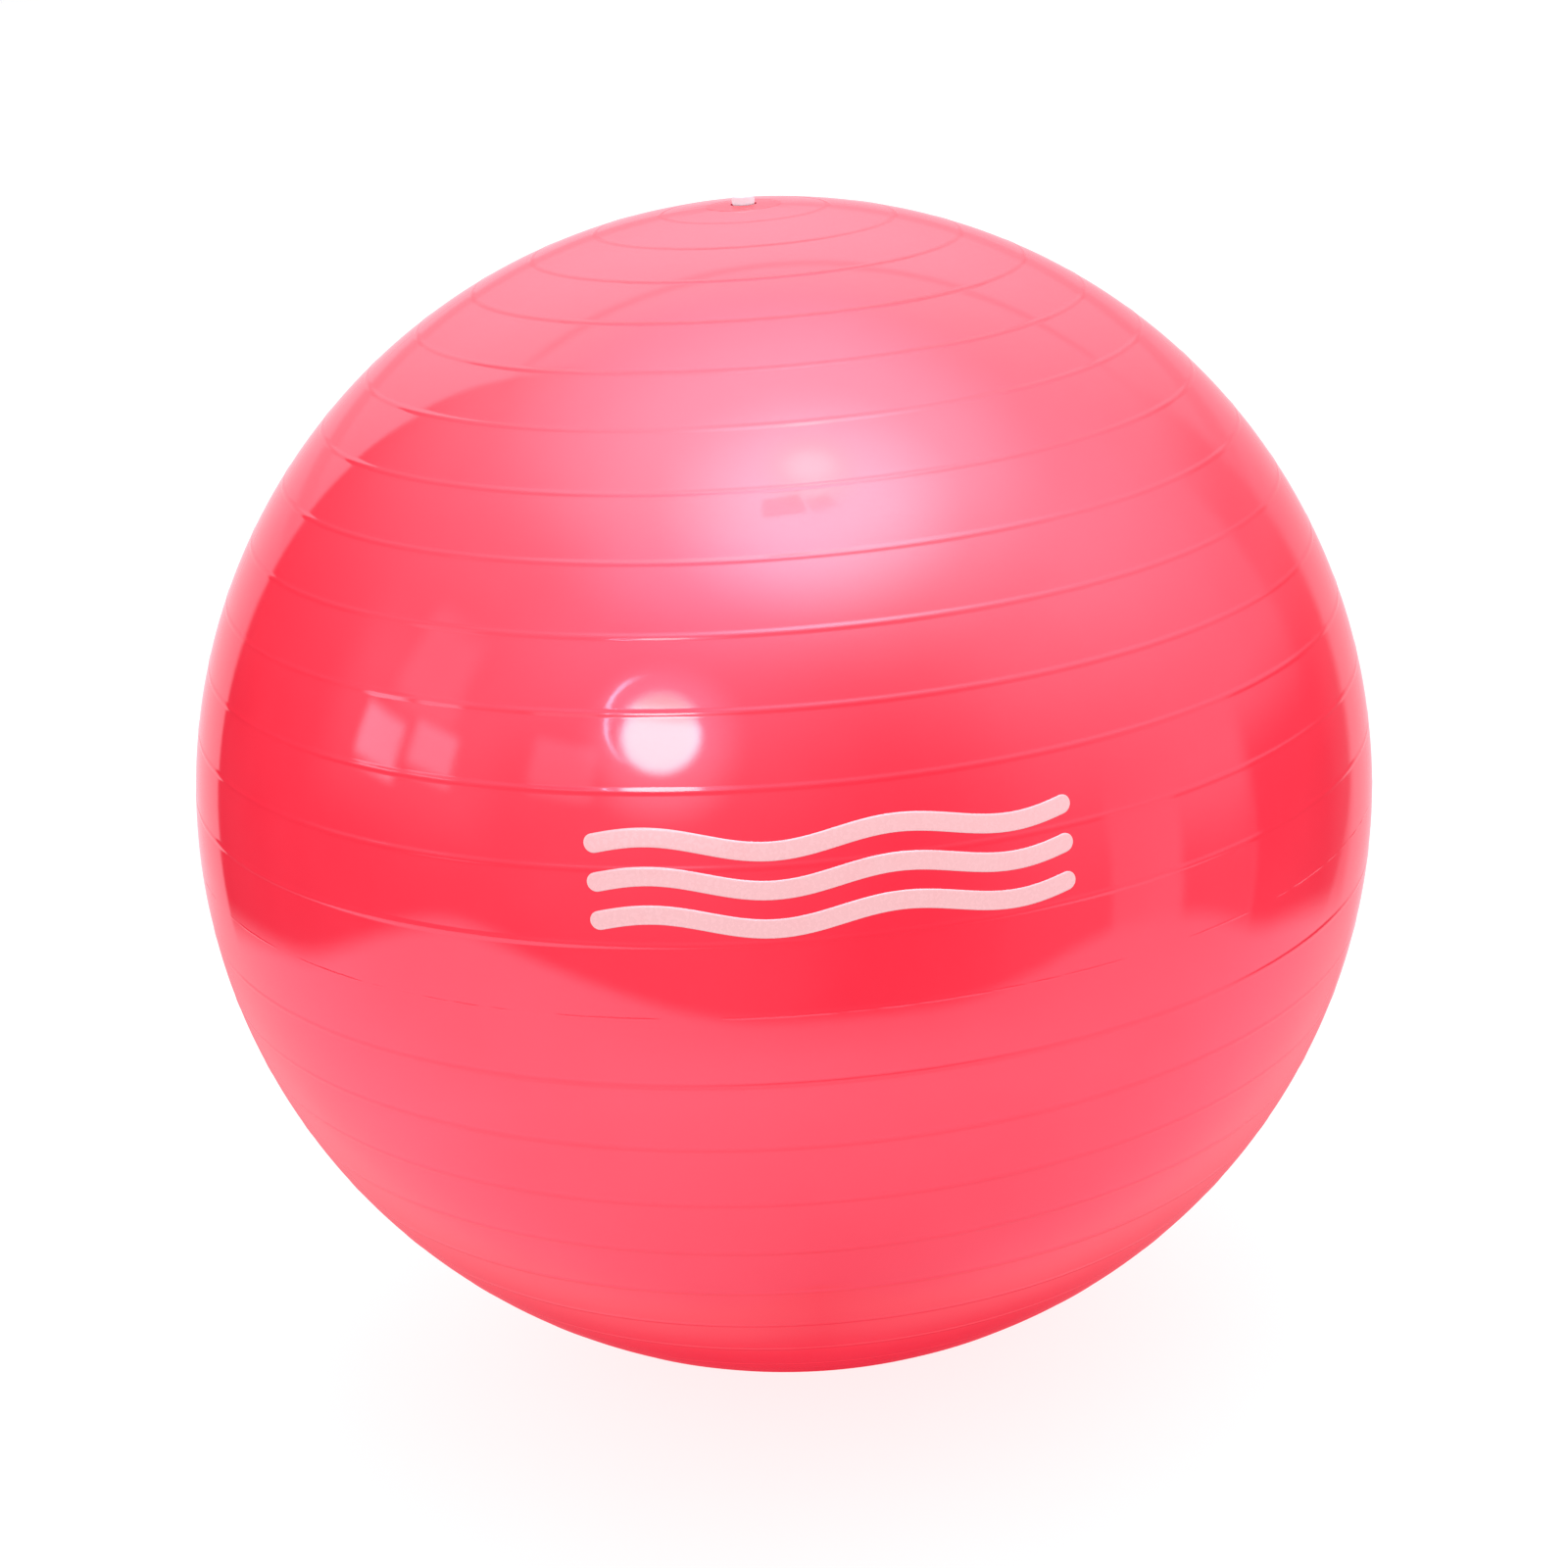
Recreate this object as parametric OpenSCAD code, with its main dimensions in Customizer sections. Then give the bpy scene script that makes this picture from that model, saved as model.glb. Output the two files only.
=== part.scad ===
// Exercise ball, 65 cm: a ribbed inflatable skin, the valve pad moulded into its top pole,
// and the stopper that closes the valve.
// The origin is the middle of the flat patch that the ball rests on. +Z is up, along the valve.

/* [Ball] */
// Diameter over the skin, between the ribs
ball_d = 650; // [450:50:850]
// Thickness of the inflated skin
wall = 0.8; // [0.7:0.1:2]
// Radius of the flat patch that the ball rests on
foot_r = 32; // [20:1:34]

/* [Ribs] */
// Ribs on each side of the equator
ribs_per_side = 13; // [5:1:15]
// Angle between the pole and the rib nearest to it
first_rib_angle = 7.9; // [7.5:0.1:14]
// Height of a rib above the skin
rib_h = 0.25; // [0.2:0.05:0.8]
// Width of a rib where it meets the skin
rib_w = 4; // [3:0.5:9]
// Height of the mould's parting line, round the equator
parting_h = 0.2; // [0.1:0.05:0.5]

/* [Valve pad] */
// Diameter of the pad that shows in the skin
pad_d = 40; // [30:1:44]
// Diameter of the flange that bonds under the skin
flange_d = 50; // [48:1:56]
// Thickness of the flange
flange_t = 1.6; // [1:0.1:2.5]
// Diameter of the neck that hangs inside the ball
neck_d = 14; // [12:0.5:20]
// Length of the bore through the pad and the neck
bore_l = 26; // [24:1:34]
// Diameter of the bore that the stopper fills
bore_d = 8; // [6:0.5:9]
// Width of the gap between the stopper's head and the recess it sits in
recess_gap = 0.9; // [0.4:0.1:1.5]
// Depth of that recess
recess_depth = 1; // [0.6:0.1:1.6]

/* [Stopper] */
// Diameter of the head
head_d = 12; // [11:0.5:16]
// Height of the head
head_h = 6; // [4:0.5:8]
// Rounding of the head's edges
head_round = 1.4; // [0.5:0.1:1.8]
// Length of the stem below the head
stem_l = 22; // [18:1:24]
// Number of sealing rings on the stem
ring_count = 3; // [2:1:4]
// Depth of the groove between two sealing rings
ring_depth = 0.7; // [0.3:0.1:1]
// Radial gap between the sealing rings and the bore
running_gap = 0.05; // [0.02:0.01:0.1]

/* [Hidden] */
$fn = 180;

ball_r = ball_d / 2;
foot_drop = ball_r - sqrt(ball_r * ball_r - foot_r * foot_r);
centre_z = ball_r - foot_drop;
top_z = centre_z + ball_r;

rib_pitch = (90 - first_rib_angle) / ribs_per_side;
rib_r = (pow(rib_w / 2, 2) + pow(rib_h, 2)) / (2 * rib_h);

pad_r = pad_d / 2;
bore_r = bore_d / 2;
neck_r = neck_d / 2;
head_r = head_d / 2;
recess_r = head_r + recess_gap;
recess_z = top_z - recess_depth;
neck_fillet = 3;
lead_in = 0.6;

seat_gap = 0.05;
head_z = recess_z + seat_gap;
ring_r = bore_r - running_gap;
stem_r = ring_r - ring_depth;
tip_r = 1.2;
ring_pitch = (stem_l - tip_r) / (ring_count + 1);
ring_root = 0.2;
ring_rise = 0.5;
ring_taper = ring_pitch * 0.6;

// Everything on the outline's side of the axis, for a profile that is turned about Z.
module right_half() {
    intersection() {
        children();
        translate([0, -ball_d]) square([2 * ball_d, 4 * ball_d]);
    }
}

// A disc about the ball's centre, cut flat below, `inset` inside the skin.
module ball_disc(inset) {
    intersection() {
        translate([0, centre_z]) circle(r = ball_r - inset);
        translate([-ball_d, inset]) square([2 * ball_d, 2 * ball_d]);
    }
}

// One rib's section, at an angle from the top pole.
module rib_section(angle, height, radius) {
    translate([0, centre_z])
        rotate(-angle)
            translate([0, ball_r + height - radius])
                circle(r = radius);
}

// The ribs stand at equal angles on both sides of the equator, and the parting line is on it.
module rib_sections() {
    for (step = [-ribs_per_side : ribs_per_side])
        if (step != 0)
            rib_section(90 + step * rib_pitch, rib_h, rib_r);
    rib_section(90, parting_h, parting_h);
}

// The skin: one closed rotomoulding with its ribs, open only where the valve pad fills it.
module ball_shell() {
    color("crimson")
        rotate_extrude()
            right_half()
                difference() {
                    union() {
                        ball_disc(0);
                        rib_sections();
                    }
                    ball_disc(wall);
                    translate([0, centre_z]) square([pad_r, ball_r + wall]);
                }
}

// The part of a ball's thickness between two depths, out to a radius.
module cap_section(depth_from, depth_to, radius) {
    intersection() {
        difference() {
            ball_disc(depth_from);
            ball_disc(depth_to);
        }
        translate([0, centre_z]) square([radius, ball_r]);
    }
}

// A quarter-round hollow fillet below and outside the point [x, z], sunk into what is above it.
module inside_fillet(x, z, radius, sunk) {
    difference() {
        translate([x, z - radius]) square([radius, radius + sunk]);
        translate([x + radius, z - radius]) circle(r = radius);
    }
}

// The valve pad: thick, flush with the skin, with a flange under it and a bored neck inside the ball.
module valve_pad() {
    flange_under_z = centre_z + sqrt(pow(ball_r - wall - flange_t, 2) - pow(neck_r + neck_fillet, 2));
    neck_end_z = recess_z - bore_l;
    color("firebrick")
        rotate_extrude()
            right_half()
                difference() {
                    union() {
                        cap_section(0, wall, pad_r);
                        cap_section(wall, wall + flange_t, flange_d / 2);
                        translate([0, neck_end_z]) square([neck_r, recess_z - neck_end_z]);
                        inside_fillet(neck_r, flange_under_z, neck_fillet, flange_t / 2);
                    }
                    translate([0, recess_z]) square([recess_r, ball_r]);
                    translate([0, neck_end_z - 1]) square([bore_r, ball_r]);
                    polygon([
                        [0, recess_z - bore_r - lead_in],
                        [bore_r + lead_in, recess_z],
                        [0, recess_z],
                    ]);
                }
}

// A rectangle from the axis outwards, with its outer corners rounded.
module rounded_bar(width, height, rounding) {
    square([width - rounding, height]);
    translate([0, rounding]) square([width, height - 2 * rounding]);
    for (z = [rounding, height - rounding])
        translate([width - rounding, z]) circle(r = rounding);
}

// One sealing ring, with its crest at z: steep above, where it grips, and a slow taper towards the tip.
module sealing_ring(crest_z) {
    root_r = stem_r - ring_root;
    translate([0, 0, crest_z]) cylinder(h = ring_rise, r1 = ring_r, r2 = root_r);
    translate([0, 0, crest_z - ring_taper]) cylinder(h = ring_taper, r1 = root_r, r2 = ring_r);
}

// The stopper: a round head to pull on, and a stem with sealing rings and a rounded tip.
module stopper() {
    color("white") {
        translate([0, 0, head_z])
            rotate_extrude()
                right_half()
                    rounded_bar(head_r, head_h, head_round);
        translate([0, 0, head_z - stem_l])
            rotate_extrude()
                right_half()
                    rounded_bar(stem_r, stem_l + head_h / 2, tip_r);
        for (step = [1 : ring_count])
            sealing_ring(head_z - step * ring_pitch);
    }
}

ball_shell();
valve_pad();
stopper();
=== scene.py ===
"""The looks of a 65 cm exercise ball: its glossy ribbed skin, its printed mark, its valve and the studio."""

import math

import bpy
import numpy as np
from mathutils import Matrix, Vector


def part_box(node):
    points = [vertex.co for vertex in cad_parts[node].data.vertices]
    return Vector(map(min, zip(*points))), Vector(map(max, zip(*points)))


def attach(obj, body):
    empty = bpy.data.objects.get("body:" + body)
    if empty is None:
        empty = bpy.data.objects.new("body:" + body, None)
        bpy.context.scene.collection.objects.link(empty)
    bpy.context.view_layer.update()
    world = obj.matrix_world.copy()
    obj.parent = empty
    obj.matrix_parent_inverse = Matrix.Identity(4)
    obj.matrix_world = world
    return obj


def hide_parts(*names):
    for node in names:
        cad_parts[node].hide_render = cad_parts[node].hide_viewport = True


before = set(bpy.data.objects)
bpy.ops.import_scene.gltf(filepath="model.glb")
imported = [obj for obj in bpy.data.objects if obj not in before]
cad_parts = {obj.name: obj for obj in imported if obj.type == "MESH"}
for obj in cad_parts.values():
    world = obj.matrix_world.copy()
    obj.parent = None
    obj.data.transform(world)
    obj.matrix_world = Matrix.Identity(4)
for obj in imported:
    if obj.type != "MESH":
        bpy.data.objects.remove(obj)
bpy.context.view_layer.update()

# ---------------------------------------------------------------- Sizes, in metres and degrees

MM = 0.001
DEGREES_IN_RADIAN = 180 / math.pi
PARTING_HEIGHT = 0.2 * MM
FOOT_R = 32 * MM
PAD_R = 20 * MM
RECESS_R = 6.9 * MM
WALL = 0.8 * MM

shell_low, shell_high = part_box("ball_shell")
BALL_R = (shell_high.x - shell_low.x) / 2 - PARTING_HEIGHT
CENTRE_Z = math.sqrt(BALL_R**2 - FOOT_R**2)
CENTRE = (0, 0, CENTRE_Z)

RIBS_PER_SIDE = 13
FIRST_RIB_ANGLE = 7.9
RIB_PITCH = (90 - FIRST_RIB_ANGLE) / RIBS_PER_SIDE
RIB_HEIGHT = 0.17 * MM
RIB_WIDTH = 4.2 * MM
PARTING_WIDTH = 1.2 * MM
CREST_WIDTH = 2.8 * MM
BAND_BULGE = 0.07 * MM
HOLE_ROUNDING = 0.14 * MM
HOLE_EDGE_WIDTH = 1.2 * MM


# ---------------------------------------------------------------- The skin's surface, as formulas

# Each swell's height in millimetres, its waves down and round the ball in one turn, and its phase.
SWELLS = (
    (0.030, 3, 2, 0.4),
    (0.022, 7, -5, 1.9),
    (0.014, 13, 11, 4.1),
    (0.006, 5, -23, 2.6),
)


def to_degrees(length):
    """The angle that a length along the skin takes up, seen from the ball's centre."""
    return math.degrees(length / BALL_R)


def ridge(distance, width, height):
    """A low round ridge: highest at distance 0, and level with the skin at half its width."""
    inside = np.abs(distance) < width / 2
    return np.where(inside, height / 2 * (1 + np.cos(2 * math.pi * distance / width)), 0.0)


def waviness(down, turn):
    """Slow, faint swells of the skin, for angles in radians."""
    return sum(
        height * MM * np.sin(waves_down * down + waves_round * turn + phase)
        for height, waves_down, waves_round, phase in SWELLS
    )


def flash(azimuth):
    """How much of the parting line's height is left at each azimuth, from 0 to 1: it comes and goes."""
    turn = np.radians(azimuth)
    return np.clip(0.2 + np.sin(41 * turn) * np.sin(67 * turn + 1), 0, 1)


def skin_lift(polar, azimuth):
    """How far the skin stands above a plain ball: its ribs, the swell of each band, and the parting line."""
    step = (polar - 90) / RIB_PITCH
    nearest = np.round(step)
    to_nearest = (step - nearest) * math.radians(RIB_PITCH) * BALL_R
    on_equator = nearest == 0
    beyond_ribs = np.abs(nearest) > RIBS_PER_SIDE
    rib_height = np.where(on_equator | beyond_ribs, 0.0, RIB_HEIGHT)
    line_height = np.where(on_equator, PARTING_HEIGHT * flash(azimuth), 0.0)
    along_band = step - np.floor(step)
    between_ribs = BAND_BULGE * (1 - (2 * along_band - 1) ** 2)
    across_equator = 2 * BAND_BULGE * (1 - step**2)
    lift = np.where(np.abs(step) < 1, across_equator, between_ribs)
    lift = lift + ridge(to_nearest, RIB_WIDTH, rib_height)
    lift = lift + ridge(to_nearest, PARTING_WIDTH, line_height)
    return lift + waviness(np.radians(polar), np.radians(azimuth))


def outward(polar, azimuth):
    """Unit directions from the ball's centre. Polar is measured from the valve, azimuth from the front."""
    down = np.radians(polar)
    turn = np.radians(azimuth)
    x = np.sin(down) * np.sin(turn)
    y = -np.sin(down) * np.cos(turn)
    return np.stack([x, y, np.cos(down)], axis=-1)


def on_skin(polar, azimuth, lift=0.0):
    """Points on the skin, or this far above it."""
    radius = BALL_R + skin_lift(polar, azimuth) + lift
    return np.array(CENTRE) + radius[..., None] * outward(polar, azimuth)


def skin_normals(polar, azimuth):
    """Unit normals of the skin, from its slope along both angles."""
    step = 0.02
    along = on_skin(polar + step, azimuth) - on_skin(polar - step, azimuth)
    across = on_skin(polar, azimuth + step) - on_skin(polar, azimuth - step)
    normal = np.cross(along, across)
    return normal / np.linalg.norm(normal, axis=-1, keepdims=True)


# ---------------------------------------------------------------- Mesh helpers

def band_quads(upper, lower, columns, closed=True):
    """Faces between two rows of points, from each row's first index. Closed rows are rings."""
    steps = [(c, (c + 1) % columns) for c in range(columns if closed else columns - 1)]
    return [(upper + c, lower + c, lower + after, upper + after) for c, after in steps]


def fan(rim, centre, columns):
    """Triangles from a ring of points, given its first index, to one point."""
    return [(rim + c, centre, rim + (c + 1) % columns) for c in range(columns)]


def flipped(faces):
    """The same faces, seen from their other side."""
    return [tuple(reversed(face)) for face in faces]


def add_object(name, data):
    """A new object in the scene."""
    obj = bpy.data.objects.new(name, data)
    bpy.context.scene.collection.objects.link(obj)
    return obj


def add_mesh(name, points, faces, material, normals=None):
    """A smooth mesh object with one material, and with the given normals if there are any."""
    mesh = bpy.data.meshes.new(name)
    mesh.from_pydata([tuple(p) for p in points], [], faces)
    mesh.validate()
    mesh.polygons.foreach_set("use_smooth", [True] * len(mesh.polygons))
    if normals is not None:
        mesh.normals_split_custom_set_from_vertices([tuple(n) for n in normals])
    mesh.materials.append(material)
    return add_object(name, mesh)


# ---------------------------------------------------------------- Node helpers

class Graph:
    """Short ways to add nodes to one node tree."""

    def __init__(self, tree):
        self.tree = tree
        tree.nodes.clear()

    def add(self, kind, **settings):
        """A new shader node, with these settings."""
        node = self.tree.nodes.new("ShaderNode" + kind)
        for name, value in settings.items():
            setattr(node, name, value)
        return node

    def feed(self, socket, value):
        """Links a socket to a number, a colour or another node's output."""
        if isinstance(value, bpy.types.NodeSocket):
            self.tree.links.new(value, socket)
        else:
            socket.default_value = value

    def math(self, operation, first, second=0.0):
        """One calculation, on one or two values."""
        node = self.add("Math", operation=operation)
        self.feed(node.inputs[0], first)
        self.feed(node.inputs[1], second)
        return node.outputs[0]

    def times(self, first, *others):
        for other in others:
            first = self.math("MULTIPLY", first, other)
        return first

    def plus(self, first, *others):
        for other in others:
            first = self.math("ADD", first, other)
        return first

    def minus(self, first, second):
        return self.math("SUBTRACT", first, second)

    def gap(self, first, second):
        """How far apart two values are."""
        return self.math("ABSOLUTE", self.minus(first, second))

    def ramp(self, value, low, high, low_value=0.0, high_value=1.0, smooth=True):
        """low_value up to low, high_value from high, and a smooth change between."""
        node = self.add("MapRange", interpolation_type="SMOOTHSTEP" if smooth else "LINEAR")
        self.feed(node.inputs["Value"], value)
        self.feed(node.inputs["From Min"], low)
        self.feed(node.inputs["From Max"], high)
        self.feed(node.inputs["To Min"], low_value)
        self.feed(node.inputs["To Max"], high_value)
        return node.outputs["Result"]

    def span(self, value, low, high, soft):
        """1 between low and high, and 0 outside, with edges this soft."""
        rise = self.ramp(value, low - soft / 2, low + soft / 2)
        fall = self.ramp(value, high - soft / 2, high + soft / 2, 1.0, 0.0)
        return self.times(rise, fall)

    def blend(self, share, first, second):
        """The first colour, changing to the second as share goes from 0 to 1."""
        node = self.add("Mix", data_type="RGBA")
        self.feed(node.inputs["Factor"], share)
        colours = [s for s in node.inputs if s.type == "RGBA"]
        self.feed(colours[0], first)
        self.feed(colours[1], second)
        return [s for s in node.outputs if s.type == "RGBA"][0]

    def noise(self, scale, detail):
        """Noise in the object's own space, about 0.5. Scale is in repeats per metre."""
        place = self.add("TexCoord").outputs["Object"]
        node = self.add("TexNoise")
        self.feed(node.inputs["Vector"], place)
        self.feed(node.inputs["Scale"], scale)
        self.feed(node.inputs["Detail"], detail)
        return node.outputs["Fac"]

    def mottle(self, scale, detail, low_value, high_value):
        """Noise spread between two values."""
        return self.ramp(self.noise(scale, detail), 0.3, 0.7, low_value, high_value)

    def bump(self, height, strength, distance):
        """A normal that shows a height as relief this deep, at this strength."""
        node = self.add("Bump")
        self.feed(node.inputs["Strength"], strength)
        self.feed(node.inputs["Distance"], distance)
        self.feed(node.inputs["Height"], height)
        return node.outputs["Normal"]

    def background(self, colour, strength):
        """A world shader of one colour."""
        node = self.add("Background")
        self.feed(node.inputs["Color"], colour)
        self.feed(node.inputs["Strength"], strength)
        return node.outputs[0]

    def choose(self, share, first, second):
        """The first shader where share is 0, and the second where it is 1."""
        node = self.add("MixShader")
        for socket, value in zip(node.inputs, (share, first, second)):
            self.feed(socket, value)
        return node.outputs[0]

    def add_up(self, first, second):
        """Two shaders together."""
        node = self.add("AddShader")
        self.feed(node.inputs[0], first)
        self.feed(node.inputs[1], second)
        return node.outputs[0]


def new_material(name):
    """A new node material, with its graph and its Principled shader."""
    material = bpy.data.materials.new(name)
    material.use_nodes = True
    graph = Graph(material.node_tree)
    shader = graph.add("BsdfPrincipled")
    output = graph.add("OutputMaterial")
    graph.feed(output.inputs["Surface"], shader.outputs["BSDF"])
    return material, graph, shader


# ---------------------------------------------------------------- Materials

RED = (0.88, 0.033, 0.063, 1)
DEEP_RED = (0.86, 0.027, 0.055, 1)
# Painted shade on the rib crests.
CREST_SHADE_RED = (0.70, 0.012, 0.030, 1)
PAD_RED = (0.70, 0.014, 0.030, 1)
# Painted shade in the stopper's recess.
RECESS_SHADE_RED = (0.62, 0.006, 0.040, 1)
PLASTIC_WHITE = (0.78, 0.83, 0.89, 1)
PLASTIC_GREY = (0.74, 0.79, 0.85, 1)
# Painted shade on the stopper's back.
PLASTIC_SHADE = (0.27, 0.29, 0.31, 1)
INK_PINK = (0.80, 0.44, 0.46, 1)
THIN_INK_PINK = (0.86, 0.24, 0.27, 1)


def steps_above_equator(graph):
    """How far a point is above the equator, in steps from rib to rib."""
    from_centre = graph.add("VectorMath", operation="SUBTRACT")
    graph.feed(from_centre.inputs[0], graph.add("TexCoord").outputs["Object"])
    graph.feed(from_centre.inputs[1], CENTRE)
    unit = graph.add("VectorMath", operation="NORMALIZE")
    graph.feed(unit.inputs[0], from_centre.outputs["Vector"])
    parts = graph.add("SeparateXYZ")
    graph.feed(parts.inputs[0], unit.outputs["Vector"])
    return graph.times(graph.math("ARCSINE", parts.outputs["Z"]), DEGREES_IN_RADIAN / RIB_PITCH)


def crest_dullness_and_shade(graph):
    """How dull the ribs' crests are, and how much painted shade darkens them: most near the valve, less on
    the lower half, and 0 beside the ribs.
    """
    steps = steps_above_equator(graph)
    to_nearest = graph.gap(steps, graph.math("ROUND", steps))
    off_crest = graph.times(to_nearest, RIB_PITCH / to_degrees(CREST_WIDTH))
    crest = graph.ramp(off_crest, 0.1, 0.9, 1, 0)
    is_rib = graph.span(graph.math("ABSOLUTE", steps), 0.5, RIBS_PER_SIDE + 0.5, 0.01)
    lower_half = graph.ramp(steps, -0.5, 1.5, 0.6, 0.2)
    near_valve = graph.ramp(steps, RIBS_PER_SIDE - 5, RIBS_PER_SIDE - 2.5, 0, 1.4)
    return graph.times(crest, is_rib, graph.plus(lower_half, near_valve), graph.mottle(5, 1, 0.7, 1.0))


def near_axis(graph, radius, soft):
    """1 within a radius of the valve axis, and 0 outside, with an edge this soft."""
    place = graph.add("VectorMath", operation="MULTIPLY")
    graph.feed(place.inputs[0], graph.add("TexCoord").outputs["Object"])
    graph.feed(place.inputs[1], (1, 1, 0))
    reach = graph.add("VectorMath", operation="LENGTH")
    graph.feed(reach.inputs[0], place.outputs["Vector"])
    return graph.ramp(reach.outputs["Value"], radius, radius + soft, 1, 0)


def facing_back(graph):
    """1 on upright sides that face the back, +Y, and down to 0 on level faces and towards the front."""
    parts = graph.add("SeparateXYZ")
    graph.feed(parts.inputs[0], graph.add("NewGeometry").outputs["Normal"])
    towards_back = graph.ramp(parts.outputs["Y"], -0.35, 0.85)
    upright = graph.minus(1, graph.times(parts.outputs["Z"], parts.outputs["Z"]))
    return graph.times(towards_back, upright)


def skin_material():
    """Soft red PVC: a clean gloss with a faint orange peel, slow changes of colour, and duller rib crests
    with painted shade.
    """
    material, graph, shader = new_material("red_pvc")
    crest = crest_dullness_and_shade(graph)
    cloud = graph.ramp(graph.noise(9, 3), 0.35, 0.7)
    colour = graph.blend(cloud, RED, DEEP_RED)
    # Painted shade: the rib crests' colour is darkened, most near the valve and on the lower half.
    colour = graph.blend(graph.times(crest, 0.25), colour, CREST_SHADE_RED)
    graph.feed(shader.inputs["Base Color"], colour)
    graph.feed(shader.inputs["Roughness"], graph.ramp(graph.noise(22, 4), 0.3, 0.75, 0.05, 0.08))
    graph.feed(shader.inputs["Specular IOR Level"], graph.ramp(crest, 0, 2, 0.5, 0.22, smooth=False))
    graph.feed(shader.inputs["IOR"], 1.5)
    graph.feed(shader.inputs["Subsurface Weight"], 0.05)
    graph.feed(shader.inputs["Subsurface Radius"], (1.0, 0.12, 0.12))
    graph.feed(shader.inputs["Subsurface Scale"], 6 * MM)
    orange_peel = graph.bump(graph.noise(260, 2), 0.05, 0.1 * MM)
    graph.feed(shader.inputs["Normal"], orange_peel)
    return material


def pad_material():
    """The same PVC where it is thicker: deeper red, a little duller, and with painted shade in the stopper's
    recess.
    """
    material, graph, shader = new_material("pad_pvc")
    colour = graph.blend(graph.noise(60, 3), DEEP_RED, PAD_RED)
    # Painted shade: the pad's colour is darkened within the stopper's recess, round the valve axis.
    colour = graph.blend(near_axis(graph, RECESS_R, 0.3 * MM), colour, RECESS_SHADE_RED)
    graph.feed(shader.inputs["Base Color"], colour)
    graph.feed(shader.inputs["Roughness"], graph.mottle(120, 2, 0.16, 0.24))
    graph.feed(shader.inputs["Specular IOR Level"], 0.34)
    grain = graph.bump(graph.noise(400, 2), 0.06, 0.1 * MM)
    graph.feed(shader.inputs["Normal"], grain)
    return material


def stopper_material():
    """White moulded plastic with a fine satin grain, and painted shade on its back, where the light is
    strongest.
    """
    material, graph, shader = new_material("stopper_plastic")
    colour = graph.blend(graph.noise(180, 3), PLASTIC_WHITE, PLASTIC_GREY)
    # Painted shade: sides that face the back are darkened, against the stronger light from behind.
    colour = graph.blend(facing_back(graph), colour, PLASTIC_SHADE)
    graph.feed(shader.inputs["Base Color"], colour)
    graph.feed(shader.inputs["Roughness"], graph.mottle(700, 2, 0.28, 0.4))
    grain = graph.bump(graph.noise(1500, 2), 0.15, 0.05 * MM)
    graph.feed(shader.inputs["Normal"], grain)
    return material


def ink_material():
    """Pale ink, thin enough for a little of the red to show through in places."""
    material, graph, shader = new_material("print_ink")
    thin = graph.ramp(graph.noise(55, 4), 0.45, 0.85, 0.0, 0.12)
    graph.feed(shader.inputs["Base Color"], graph.blend(thin, INK_PINK, THIN_INK_PINK))
    graph.feed(shader.inputs["Roughness"], graph.mottle(500, 3, 0.2, 0.32))
    grain = graph.bump(graph.noise(600, 1), 0.04, 0.05 * MM)
    graph.feed(shader.inputs["Normal"], grain)
    return material


# ---------------------------------------------------------------- The ball's skin

SEGMENTS = 224
INSIDE_RINGS = 48

# Where the outside's rings are: in half widths of a rib or of the parting line, in shares of the stretch
# before the first rib, and in degrees after the last one.
RINGS_ON_RIB = np.array([-1.15, -0.8, -0.55, -0.3, 0, 0.3, 0.55, 0.8, 1.15])
RINGS_ON_LINE = np.array([-1.5, -1.0, -0.5, 0, 0.5, 1.0, 1.5])
RINGS_BEFORE_FIRST_RIB = np.array([0.45, 0.7])
RINGS_AFTER_LAST_RIB = np.array([0.35, 0.8])
RINGS_BETWEEN_RIBS = 4


def polar_at(radius, sphere_r):
    """The angle from the valve at which a sphere is this far from the axis."""
    return math.degrees(math.asin(radius / sphere_r))


def outer_polar_angles():
    """The angles of the outer skin's rings: close together across each rib, and wide apart between ribs."""
    rib = to_degrees(RIB_WIDTH / 2)
    line = to_degrees(PARTING_WIDTH / 2)
    rib_end = rib * RINGS_ON_RIB[-1]
    gap = RIB_PITCH - 2 * rib_end
    between_ribs = rib_end + gap * np.arange(1, RINGS_BETWEEN_RIBS + 1) / (RINGS_BETWEEN_RIBS + 1)
    start = polar_at(PAD_R, BALL_R)
    end = 180 - polar_at(FOOT_R, BALL_R)
    hole_edge = to_degrees(HOLE_EDGE_WIDTH)
    angles = [start, start + hole_edge / 3, start + hole_edge, end]
    for step in range(-RIBS_PER_SIDE, RIBS_PER_SIDE + 1):
        middle = 90 + step * RIB_PITCH
        angles.extend(middle + (line * RINGS_ON_LINE if step == 0 else rib * RINGS_ON_RIB))
        if step < RIBS_PER_SIDE:
            angles.extend(middle + between_ribs)
    before_first_rib = FIRST_RIB_ANGLE - rib_end
    angles.extend(start + (before_first_rib - start) * RINGS_BEFORE_FIRST_RIB)
    angles.extend(180 - before_first_rib + RINGS_AFTER_LAST_RIB)
    return np.sort(angles)


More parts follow.
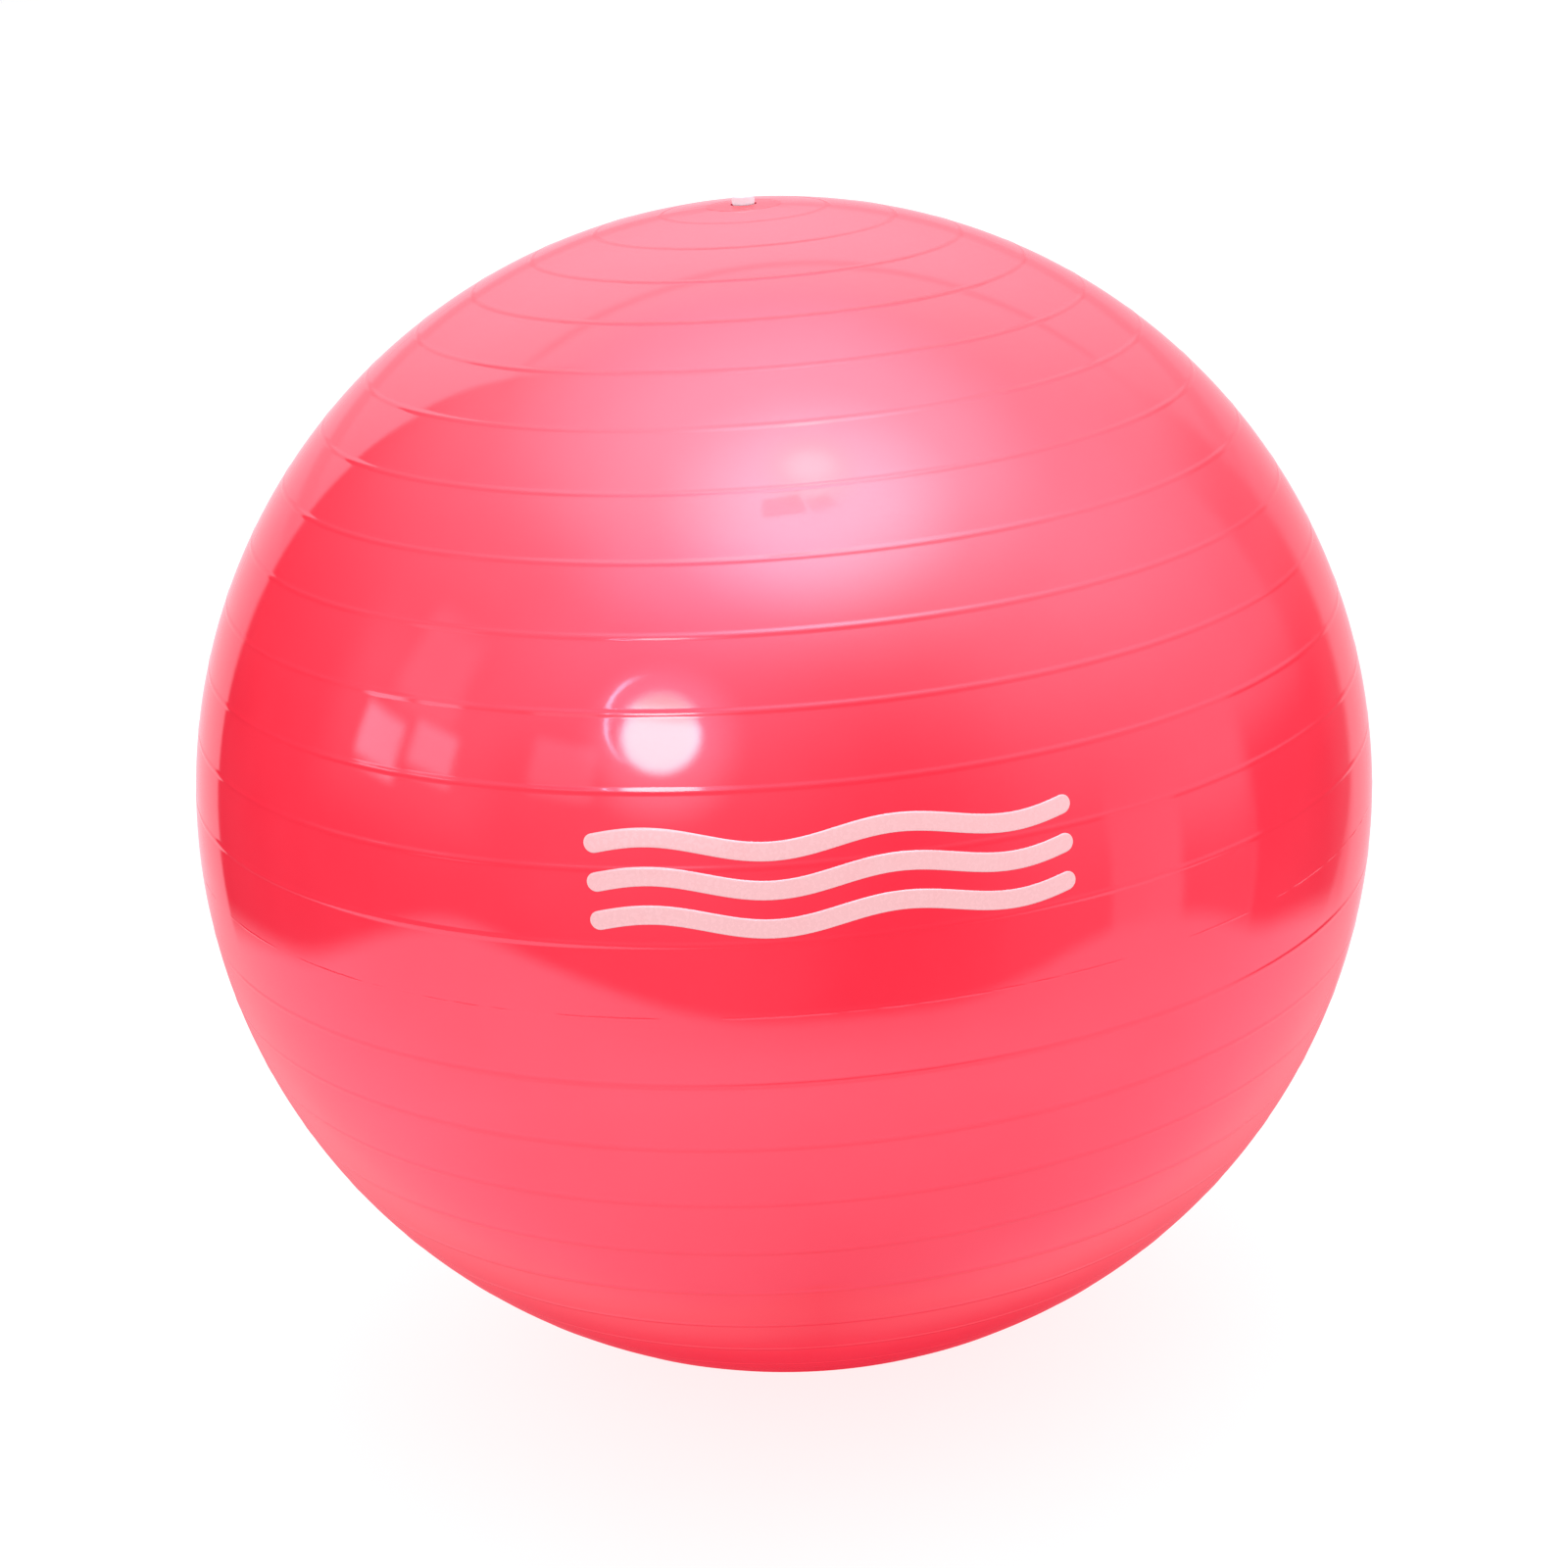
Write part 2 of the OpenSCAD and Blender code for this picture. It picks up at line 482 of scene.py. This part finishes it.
def build_skin(material):
    """The closed skin, in rings about the valve axis: outside, foot, inside and the valve hole's edge."""
    turn = np.arange(SEGMENTS) * 360 / SEGMENTS
    polar, azimuth = np.meshgrid(outer_polar_angles(), turn, indexing="ij")
    outside = on_skin(polar, azimuth)
    outside_normals = skin_normals(polar, azimuth)
    from_hole = (polar - polar[0]) / to_degrees(HOLE_EDGE_WIDTH)
    outside[..., 2] -= HOLE_ROUNDING * np.clip(1 - from_hole, 0, 1) ** 2
    outside[-1, :, 2] = 0

    inner_r = BALL_R - WALL
    floor_polar = math.degrees(math.acos((WALL - CENTRE_Z) / inner_r))
    inside_polar = np.linspace(floor_polar, polar_at(PAD_R, inner_r), INSIDE_RINGS)
    direction = outward(*np.meshgrid(inside_polar, turn, indexing="ij"))
    inside = np.array(CENTRE) + inner_r * direction

    up = np.array([0.0, 0.0, 1.0])
    points = np.concatenate([outside.reshape(-1, 3), inside.reshape(-1, 3), [0 * up, WALL * up]])
    normals = np.concatenate([outside_normals.reshape(-1, 3), -direction.reshape(-1, 3), [-up, up]])
    foot_middle, floor_middle = len(points) - 2, len(points) - 1
    rings = [ring * SEGMENTS for ring in range(len(polar) + INSIDE_RINGS)]
    foot_rim, floor_rim = rings[len(polar) - 1], rings[len(polar)]
    faces = []
    for upper, lower in zip(rings, rings[1:]):
        if upper != foot_rim:
            faces += band_quads(upper, lower, SEGMENTS)
    faces += band_quads(rings[-1], rings[0], SEGMENTS)
    faces += fan(foot_rim, foot_middle, SEGMENTS)
    faces += flipped(fan(floor_rim, floor_middle, SEGMENTS))
    skin = add_mesh("ball_skin", points, faces, material, normals)
    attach(skin, "ball")
    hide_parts("ball_shell")


# ---------------------------------------------------------------- The printed mark

PRINT_AZIMUTH = 3.7
PRINT_POLAR = 78.6
PRINT_LENGTH = 231 * MM
INK_THICKNESS = 0.12 * MM
STRIPE_COUNT = 3
STRIPE_WIDTH = 9 * MM
STRIPE_SPACING = 18 * MM
STRIPE_TIP_WIDTH = 0.1 * MM
STRIPE_ROWS = 150
STRIPE_COLUMNS = 9
WAVE_HEIGHT = 4 * MM
WAVES = 2


def flat_stripe(index):
    """One wavy stripe with round ends, laid flat: how far its points are along and up from the middle."""
    along = -np.cos(np.linspace(0, math.pi, STRIPE_ROWS)) * PRINT_LENGTH / 2
    half = STRIPE_WIDTH / 2
    from_end = np.clip((PRINT_LENGTH / 2 - np.abs(along)) / half, 0, 1)
    half_width = np.maximum(half * np.sqrt(1 - (1 - from_end) ** 2), STRIPE_TIP_WIDTH / 2)
    wave = 2 * math.pi * WAVES / PRINT_LENGTH
    slope = WAVE_HEIGHT * wave * np.cos(wave * along)
    half_width = half_width / np.sqrt(1 + slope**2)
    sideways = np.linspace(-1, 1, STRIPE_COLUMNS)
    x = along[:, None] - sideways * (half_width * slope)[:, None]
    y = (WAVE_HEIGHT * np.sin(wave * along))[:, None] + sideways * half_width[:, None]
    return x, y + (index - (STRIPE_COUNT - 1) / 2) * STRIPE_SPACING


def stripe_points(index, lift):
    """One stripe's rows of points, bent round the skin and lifted off it."""
    x, y = flat_stripe(index)
    polar = PRINT_POLAR - np.degrees(y / BALL_R)
    azimuth = PRINT_AZIMUTH + np.degrees(x / (BALL_R * np.sin(np.radians(polar))))
    return on_skin(polar, azimuth, lift).reshape(-1, 3)


def film_faces(start):
    """One stripe's faces: its top, its underside, whose points follow the top's, and the rim between."""
    layer = STRIPE_ROWS * STRIPE_COLUMNS
    left = [start + row * STRIPE_COLUMNS for row in range(STRIPE_ROWS)]
    right = [corner + STRIPE_COLUMNS - 1 for corner in left]
    faces = []
    for upper, lower in zip(left, left[1:]):
        quads = band_quads(upper, lower, STRIPE_COLUMNS, closed=False)
        faces += quads
        faces += flipped([tuple(i + layer for i in quad) for quad in quads])
    last_row = list(range(left[-1] + 1, right[-1]))
    first_row = list(range(right[0] - 1, left[0], -1))
    rim = left + last_row + right[::-1] + first_row
    faces += [(b, a, a + layer, b + layer) for a, b in zip(rim, rim[1:] + rim[:1])]
    return faces


def build_print(material):
    """Three wavy stripes of ink, each a closed film that follows the ribs."""
    points, faces = [], []
    for index in range(STRIPE_COUNT):
        faces += film_faces(len(points))
        points.extend(stripe_points(index, INK_THICKNESS))
        points.extend(stripe_points(index, -INK_THICKNESS))
    mark = add_mesh("printed_mark", points, faces, material)
    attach(mark, "ball")


# ---------------------------------------------------------------- The studio's floor

FLOOR_REACH = 12.0
FLOOR_TONE = (0.2, 0.2, 0.2, 1)
FLOOR_GLOW = 0.8
WHITE = (1, 1, 1, 1)


def build_floor():
    """A plain pale floor. It takes the ball's soft shadow and isn't mirrored in the skin."""
    reach = FLOOR_REACH
    corners = [(-reach, -reach, 0), (reach, -reach, 0), (reach, reach, 0), (-reach, reach, 0)]
    material, graph, shader = new_material("studio_floor")
    graph.feed(shader.inputs["Base Color"], FLOOR_TONE)
    graph.feed(shader.inputs["Roughness"], 1.0)
    graph.feed(shader.inputs["Specular IOR Level"], 0.0)
    graph.feed(shader.inputs["Emission Color"], WHITE)
    glow = graph.mottle(1.5, 2, FLOOR_GLOW - 0.01, FLOOR_GLOW + 0.01)
    graph.feed(shader.inputs["Emission Strength"], glow)
    floor = add_mesh("studio_floor", corners, [(0, 1, 2, 3)], material)
    floor.visible_glossy = False
    floor.visible_diffuse = False


# ---------------------------------------------------------------- What the skin mirrors
#
# Places are an azimuth and an elevation in degrees, as seen from the ball. Azimuth 0 is the front, -Y,
# and 90 is +X. Brightness 1 is white.

LAMP = (-24.5, 27.8)
BULB = (36, 76.6)
ROOM_LEFT = -137
ROOM_RIGHT = 137
COOL = (0.93, 1.0, 1.32, 1)
VIOLET = (0.93, 1.0, 1.52, 1)
NEUTRAL = (1.0, 1.0, 1.10, 1)

# Each pane's left, right, low and high edge, how soft its edges are, and its brightness.
WINDOW_PANES = (
    (-90, -79.5, 8.5, 17, 2.8, 3.0),
    (-77, -66.5, 11.5, 19, 2.8, 2.4),
    (-50, -37, 15, 24, 3.0, 1.0),
    (-85, -69, 19, 34, 6.0, 0.7),
    (-98, -58, 3, 27, 14.0, 0.4),
)


def direction_to(azimuth, elevation):
    """A unit vector from the ball to a place round it."""
    turn, up = math.radians(azimuth), math.radians(elevation)
    return (math.sin(turn) * math.cos(up), -math.cos(turn) * math.cos(up), math.sin(up))


class Surroundings:
    """What the skin mirrors, as a brightness for each direction: a room, a pale floor, and lights."""

    def __init__(self, graph):
        self.graph = graph
        self.ray = graph.add("TexCoord").outputs["Generated"]
        parts = graph.add("SeparateXYZ")
        graph.feed(parts.inputs[0], self.ray)
        x, y, z = parts.outputs
        self.elevation = graph.times(graph.math("ARCSINE", z), DEGREES_IN_RADIAN)
        self.azimuth = graph.times(graph.math("ARCTAN2", x, graph.times(y, -1)), DEGREES_IN_RADIAN)
        self.from_front = graph.math("ABSOLUTE", self.azimuth)

    def less(self, value):
        """1 minus a value."""
        return self.graph.minus(1, value)

    def left_by(self, *shades):
        """The share of brightness that shades leave, each given as the share that it takes."""
        return self.graph.times(*[self.less(shade) for shade in shades])

    def rise(self, low, high, low_value=0.0, high_value=1.0):
        """A smooth change with elevation."""
        return self.graph.ramp(self.elevation, low, high, low_value, high_value)

    def across(self, left, right, left_value=0.0, right_value=1.0):
        """A smooth change with azimuth."""
        return self.graph.ramp(self.azimuth, left, right, left_value, right_value)

    def lobe(self, middle, reach, level=1.0):
        """A soft bump round one azimuth."""
        return self.graph.ramp(self.graph.gap(self.azimuth, middle), 0, reach, level, 0.0)

    def disc(self, azimuth, elevation, core, reach, level=1.0):
        """A round light: full level within its core, and gone at its reach."""
        dot = self.graph.add("VectorMath", operation="DOT_PRODUCT")
        self.graph.feed(dot.inputs[0], self.ray)
        self.graph.feed(dot.inputs[1], direction_to(azimuth, elevation))
        angle = self.graph.times(self.graph.math("ARCCOSINE", dot.outputs["Value"]), DEGREES_IN_RADIAN)
        return self.graph.ramp(angle, core, reach, level, 0.0)

    def arc(self, azimuth, elevation, soft, level):
        """A thin straight line: the directions square to this one, with edges this soft."""
        beyond = self.disc(azimuth, elevation, 90, 90 + soft, level)
        short_of = self.disc(azimuth, elevation, 90 - soft, 90, level)
        return self.graph.minus(beyond, short_of)

    def card(self, left, right, low, high, soft, level):
        """A rectangle of light."""
        wide = self.graph.span(self.azimuth, left, right, soft)
        tall = self.graph.span(self.elevation, low, high, soft)
        return self.graph.times(wide, tall, level)

    def open_room(self):
        """The room's general brightness: dim near the floor, bright overhead, brightest on the right."""
        g = self.graph
        level = g.plus(0.64, self.rise(2, 68, 0, 2.7))
        right_wall = g.times(self.lobe(80, 52), self.rise(10, 55, 0.95, 0.3), self.rise(50, 78, 1, 0))
        return g.times(level, g.plus(1, right_wall))

    def dark_places(self):
        """The share of brightness left by the dark left wall and corner, and by what stands low in front."""
        g = self.graph
        wall = g.span(self.azimuth, ROOM_LEFT, 60, 2)
        left_wall = g.times(wall, self.across(-70, -40, 0.25, 0), self.rise(45, 62, 1, 0))
        left_corner = g.times(wall, self.across(-125, -55, 0.97, 0), self.rise(0, 60, 1, 0))
        low_wall = g.times(wall, self.rise(-15, 12, 0.6, 0))
        front = g.times(self.lobe(17, 36), self.rise(-10, 58, 0.95, 0))
        return self.left_by(left_wall, left_corner, low_wall, front)

    def right_corner(self):
        """The share of brightness left by a low dark shelf on the right, a darker cupboard and a column."""
        g = self.graph
        shelf = g.times(g.span(self.azimuth, 76, 95, 3), self.rise(-15, 3, 0.66, 0))
        cupboard = g.times(g.span(self.azimuth, 95, ROOM_RIGHT, 5), self.rise(-6, 8, 0.9, 0))
        cupboard = g.times(cupboard, self.across(118, 138, 1, 0.55))
        column = g.times(g.span(self.azimuth, 120, ROOM_RIGHT, 6), self.rise(12, 28, 0.32, 0))
        above_slope = g.minus(self.elevation, g.minus(self.azimuth, 131))
        cut = g.ramp(above_slope, -24.5, -20.5)
        return self.left_by(g.times(shelf, cut), g.times(cupboard, cut), column)

    def back_wall(self):
        """The share left along two faint lines on the wall behind: a low rail and its sloping top edge."""
        g = self.graph
        behind = g.ramp(self.from_front, 130, 146)
        rail = g.times(g.span(self.elevation, 7, 12.5, 3), 0.16)
        below_rail = g.times(self.lobe(-160, 32), self.rise(5, 9, 0.16, 0))
        top_edge = self.arc(20, 41.5, soft=2.2, level=0.2)
        lines = g.minus(below_rail, g.plus(rail, top_edge))
        return g.plus(1, g.times(behind, lines))

    def lamp(self):
        """The lamp on the left in front: a bowl with a bright rim, in a soft halo."""
        g = self.graph
        bowl = g.times(self.disc(*LAMP, core=6, reach=8.3), self.rise(29.5, 33.5, 15, 5))
        outer = self.disc(-27, 29.8, core=8.3, reach=8.7)
        inner = self.disc(-26.2, 29.6, core=8.3, reach=8.7)
        rim = g.times(g.math("MAXIMUM", g.minus(outer, inner), 0), self.rise(35, 38.5, 11, 0))
        halo = self.disc(-24, 26, core=6, reach=17, level=2.2)
        return g.plus(bowl, rim, halo)

    def overhead(self):
        """The wide light overhead, with one bright bulb and two gaps."""
        g = self.graph
        near = self.disc(24, 70.7, core=5.5, reach=28, level=4.65)
        far = self.disc(26, 78.3, core=16, reach=45, level=2.6)
        bulb = self.disc(*BULB, core=1.5, reach=6, level=2.4)
        wide_gap = self.card(-1, 20, 69, 73.3, soft=0.8, level=2.4)
        narrow_gap = self.card(22, 34, 68.3, 71.5, soft=0.8, level=1.6)
        return g.minus(g.plus(near, far, bulb), g.plus(wide_gap, narrow_gap))

    def windows(self):
        """The window's panes on the left, and its glow."""
        return self.graph.plus(*[self.card(*pane) for pane in WINDOW_PANES])

    def floor(self):
        """The pale floor: brightest in front, and darkest where the ball's own foot shades it."""
        g = self.graph
        facing = g.times(g.plus(g.math("COSINE", g.times(self.azimuth, 1 / DEGREES_IN_RADIAN)), 1), 0.5)
        far = g.plus(g.times(g.math("POWER", facing, 0.42), 1.75), self.lobe(-50, 80, 0.3))
        front_shade = g.times(self.lobe(10, 65), self.rise(-36, -22, 0, 0.35))
        far = g.times(far, self.less(front_shade))
        under_ball = 0.5
        far_share = g.ramp(self.elevation, -92, -40, smooth=False)
        level = g.plus(g.times(far, far_share), g.times(under_ball, self.less(far_share)))
        foot_shade = self.disc(180, -50, core=4, reach=33, level=0.95)
        return g.times(level, self.less(foot_shade))

    def skirting(self):
        """The elevation where the floor meets the room: higher to the left and right of the front."""
        g = self.graph
        front = g.ramp(g.gap(self.azimuth, 10), 15, 80, -15.5, 0)
        left = self.across(-110, -58, -12, 0)
        right = self.across(50, 105, 0, -16)
        return g.plus(-9, front, left, right)

    def tint(self):
        """The lights are cool and most violet in front. The lamp and what is behind are nearly neutral."""
        g = self.graph
        in_front = g.times(self.lobe(-25, 65), self.rise(10, 35), self.rise(50, 72, 1, 0))
        behind = g.times(g.ramp(self.from_front, 95, 150), self.rise(-10, 10, 1, 0.6))
        behind = g.times(behind, self.rise(45, 65, 1, 0))
        lamp = self.disc(*LAMP, core=5.5, reach=8.5)
        bulb = self.disc(*BULB, core=2, reach=10, level=0.7)
        neutral = g.plus(behind, lamp, bulb)
        return g.blend(neutral, g.blend(in_front, COOL, VIOLET), NEUTRAL)

    def red_bounce(self):
        """The red light that the floor round the foot sends back to the ball."""
        return self.disc(180, -45, core=10, reach=60, level=1.15)

    def brightness(self):
        """All of it together, but for the red light."""
        g = self.graph
        room = g.times(self.open_room(), self.dark_places(), self.right_corner(), self.back_wall())
        room = g.plus(room, g.plus(self.lamp(), self.overhead(), self.windows()))
        above_floor = g.ramp(g.minus(self.elevation, self.skirting()), -2.2, 2.2)
        return g.plus(g.times(above_floor, room), g.times(self.less(above_floor), self.floor()))


# ---------------------------------------------------------------- The studio's light and camera

LIGHT_LEVEL = 1.25
BACKDROP_EXTRA = 1.6
TOP_LIGHT_PLACE = (0.5, -0.6, 3.0)
TOP_LIGHT_SIZE = 2.4
TOP_LIGHT_POWER = 14
CAMERA_ELEVATION = 19.2
CAMERA_ROLL = 4.0
CAMERA_DISTANCE = 5.2 * BALL_R
BALL_SHARE_OF_PICTURE = 0.75
SENSOR_IN_MM = 36


def build_world():
    """An even pale world for the camera and for soft light, and the surroundings for the glossy skin."""
    world = bpy.data.worlds.new("studio")
    bpy.context.scene.world = world
    world.use_nodes = True
    graph = Graph(world.node_tree)
    path = graph.add("LightPath").outputs
    surroundings = Surroundings(graph)
    cool_light = graph.background(surroundings.tint(), surroundings.brightness())
    red_light = graph.background(RED, surroundings.red_bounce())
    backdrop = surroundings.disc(180, 0, core=20, reach=100, level=BACKDROP_EXTRA)
    soft_light = graph.background(WHITE, graph.plus(LIGHT_LEVEL, backdrop))
    seen = graph.choose(path["Is Camera Ray"], soft_light, graph.background(WHITE, 1.0))
    mirrored = graph.add_up(cool_light, red_light)
    output = graph.add("OutputWorld")
    graph.feed(output.inputs["Surface"], graph.choose(path["Is Glossy Ray"], seen, mirrored))


def facing_ball(place):
    """The rotation that points a lamp or a camera at the ball's centre."""
    return (Vector(CENTRE) - place).to_track_quat("-Z", "Y")


def build_top_light():
    """One wide, soft lamp overhead, for a little shape in the light. The skin doesn't mirror it."""
    data = bpy.data.lights.new("top_light", "AREA")
    data.shape = "DISK"
    data.size = TOP_LIGHT_SIZE
    data.energy = TOP_LIGHT_POWER
    lamp = add_object("top_light", data)
    lamp.location = TOP_LIGHT_PLACE
    lamp.rotation_euler = facing_ball(lamp.location).to_euler()
    lamp.visible_glossy = False


def build_camera():
    """Looks at the ball's centre from slightly above the front, tilted so that the valve leans left."""
    data = bpy.data.cameras.new("camera")
    camera = add_object("camera", data)
    camera.location = Vector(CENTRE) + Vector(direction_to(0, CAMERA_ELEVATION)) * CAMERA_DISTANCE
    roll = Matrix.Rotation(math.radians(-CAMERA_ROLL), 3, "Z")
    camera.rotation_euler = (facing_ball(camera.location).to_matrix() @ roll).to_euler()
    half_ball = math.asin(BALL_R / CAMERA_DISTANCE)
    data.sensor_width = SENSOR_IN_MM
    data.lens = SENSOR_IN_MM / 2 * BALL_SHARE_OF_PICTURE / math.tan(half_ball)
    bpy.context.scene.camera = camera


# ---------------------------------------------------------------- Build it all

def set_material(node, material):
    """Gives a CAD node one of this script's materials."""
    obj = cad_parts[node]
    obj.data.materials.clear()
    obj.data.materials.append(material)


build_skin(skin_material())
build_print(ink_material())
set_material("valve_pad", pad_material())
set_material("stopper", stopper_material())
build_floor()
build_world()
build_top_light()
build_camera()
bpy.context.scene.view_settings.view_transform = "Standard"
